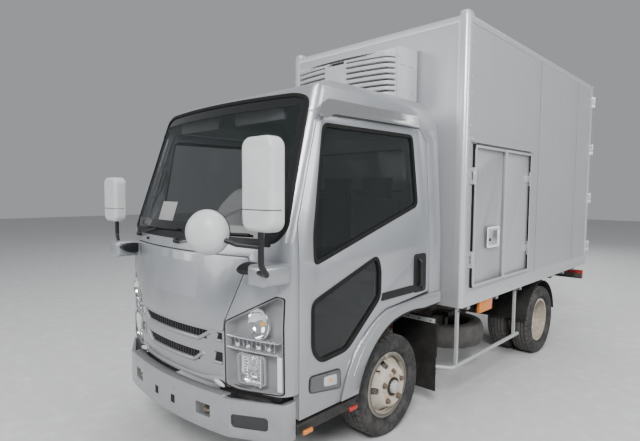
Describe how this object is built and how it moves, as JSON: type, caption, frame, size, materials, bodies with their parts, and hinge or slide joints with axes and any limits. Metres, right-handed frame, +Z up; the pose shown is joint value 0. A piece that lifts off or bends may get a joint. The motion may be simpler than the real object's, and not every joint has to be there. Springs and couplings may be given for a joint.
{
  "type": "refrigerated truck",
  "caption": "Light refrigerated truck: tilting cab, ladder frame, insulated box with side and rear doors, louvred cooling unit over the cab, steered front and twin rear wheels.",
  "frame": {"origin": "on the ground under the middle of the overall length and width", "axes": "+X forward, +Y to the truck's left, +Z up"},
  "size_m": [5.56, 2.21, 3.0099],
  "materials": {
    "frame_paint": "satin black",
    "castings": "rough",
    "exhaust_steel": "dull",
    "black_plastic": "matte",
    "black_rubber": "matte",
    "tyre_rubber": "matte",
    "wheel_paint": "gloss",
    "guard_metal": "satin",
    "cab_paint": "metallic gloss",
    "panel_metal": "satin",
    "edge_metal": "satin",
    "floor_metal": "dull",
    "unit_moulding": "satin",
    "window_glass": "clear",
    "grille_silver": "metallic gloss",
    "lamp_clear": "clear",
    "amber_lens": "clear",
    "interior_plastic": "matte",
    "seat_fabric": "woven",
    "mirror_grey": "satin"
  },
  "bodies": {
    "chassis": {"ladder_frame": "frame_paint", "front_bumper": "cab_paint", "front_axle": "frame_paint", "leaf_springs": "frame_paint", "rear_axle": "frame_paint", "engine_block": "castings", "prop_shaft": "frame_paint", "fuel_tank": "frame_paint", "battery_box": "black_plastic", "spare_wheel": "tyre_rubber", "exhaust": "exhaust_steel", "side_guards": "guard_metal", "mudguards": "black_rubber", "box_floor": "floor_metal", "box_frame": "edge_metal", "box_front_wall": "panel_metal", "box_roof": "panel_metal", "box_side_left": "panel_metal", "box_side_right": "panel_metal", "cooling_unit": "unit_moulding", "chassis_lamps": "amber_lens"},
    "cab": {"cab_rear": "cab_paint", "cab_roof": "cab_paint", "cab_front": "cab_paint", "cab_glass": "window_glass", "grille": "grille_silver", "headlamps": "lamp_clear", "cab_floor": "black_plastic", "dashboard": "interior_plastic", "seats": "seat_fabric", "mirrors": "mirror_grey", "cab_steps": "black_plastic", "wheel_arches": "cab_paint"},
    "door_left": {"door_left": "cab_paint", "door_glass_left": "window_glass"},
    "door_right": {"door_right": "cab_paint", "door_glass_right": "window_glass"},
    "front_lid": {"front_lid": "cab_paint"},
    "steering_wheel": {"steering_wheel": "black_plastic"},
    "knuckle_left": {"knuckle_left": "castings"},
    "knuckle_right": {"knuckle_right": "castings"},
    "front_wheel_left": {"front_rim_left": "wheel_paint", "front_tyre_left": "tyre_rubber"},
    "front_wheel_right": {"front_rim_right": "wheel_paint", "front_tyre_right": "tyre_rubber"},
    "rear_wheels_left": {"rear_rims_left": "wheel_paint", "rear_tyres_left": "tyre_rubber"},
    "rear_wheels_right": {"rear_rims_right": "wheel_paint", "rear_tyres_right": "tyre_rubber"},
    "side_door_front": {"side_door_front": "panel_metal"},
    "side_door_rear": {"side_door_rear": "panel_metal"},
    "rear_door_left": {"rear_door_left": "panel_metal"},
    "rear_door_right": {"rear_door_right": "panel_metal"}
  },
  "joints": [
    {"name": "cab_tilt", "type": "hinge", "parent": "chassis", "child": "cab", "pos_m": [2.4, 0, 0.62], "axis": [0, 1, 0], "range_deg": [0, 45]},
    {"name": "door_left_hinge", "type": "hinge", "parent": "cab", "child": "door_left", "pos_m": [2.214, 0.8445, 1.27], "axis": [0, 0, -1], "range_deg": [0, 70]},
    {"name": "door_right_hinge", "type": "hinge", "parent": "cab", "child": "door_right", "pos_m": [2.214, -0.8445, 1.27], "axis": [0, 0, 1], "range_deg": [0, 70]},
    {"name": "front_lid_hinge", "type": "hinge", "parent": "cab", "child": "front_lid", "pos_m": [2.424, 0, 1.373], "axis": [0, -1, 0], "range_deg": [0, 60]},
    {"name": "knuckle_left_steer", "type": "hinge", "parent": "chassis", "child": "knuckle_left", "pos_m": [1.31, 0.575, 0.3465], "axis": [0, 0, 1], "range_deg": [-35, 35]},
    {"name": "knuckle_right_steer", "type": "hinge", "parent": "chassis", "child": "knuckle_right", "pos_m": [1.31, -0.575, 0.3465], "axis": [0, 0, 1], "range_deg": [-35, 35]},
    {"name": "steering_wheel_turn", "type": "hinge", "parent": "cab", "child": "steering_wheel", "pos_m": [1.91, -0.36, 1.33], "axis": [-0.5299, 0, 0.848], "range_deg": [-630, 630]},
    {"name": "front_wheel_left_roll", "type": "hinge", "parent": "knuckle_left", "child": "front_wheel_left", "pos_m": [1.31, 0.7, 0.3465], "axis": [0, 1, 0], "continuous": true},
    {"name": "front_wheel_right_roll", "type": "hinge", "parent": "knuckle_right", "child": "front_wheel_right", "pos_m": [1.31, -0.7, 0.3465], "axis": [0, 1, 0], "continuous": true},
    {"name": "rear_wheels_left_roll", "type": "hinge", "parent": "chassis", "child": "rear_wheels_left", "pos_m": [-1.19, 0.7175, 0.3465], "axis": [0, 1, 0], "continuous": true},
    {"name": "rear_wheels_right_roll", "type": "hinge", "parent": "chassis", "child": "rear_wheels_right", "pos_m": [-1.19, -0.7175, 0.3465], "axis": [0, 1, 0], "continuous": true},
    {"name": "side_door_front_hinge", "type": "hinge", "parent": "chassis", "child": "side_door_front", "pos_m": [0.453, 0.941, 1.475], "axis": [0, 0, -1], "range_deg": [0, 110]},
    {"name": "side_door_rear_hinge", "type": "hinge", "parent": "chassis", "child": "side_door_rear", "pos_m": [-0.71, 0.941, 1.475], "axis": [0, 0, 1], "range_deg": [0, 110]},
    {"name": "rear_door_left_hinge", "type": "hinge", "parent": "chassis", "child": "rear_door_left", "pos_m": [-2.754, 0.945, 1.9], "axis": [0, 0, -1], "range_deg": [0, 250]},
    {"name": "rear_door_right_hinge", "type": "hinge", "parent": "chassis", "child": "rear_door_right", "pos_m": [-2.754, -0.945, 1.9], "axis": [0, 0, 1], "range_deg": [0, 250]}
  ],
  "couplings": [
    {"joint": "knuckle_right_steer", "follows": "knuckle_left_steer", "ratio": 1},
    {"joint": "steering_wheel_turn", "follows": "knuckle_left_steer", "ratio": 18}
  ]
}
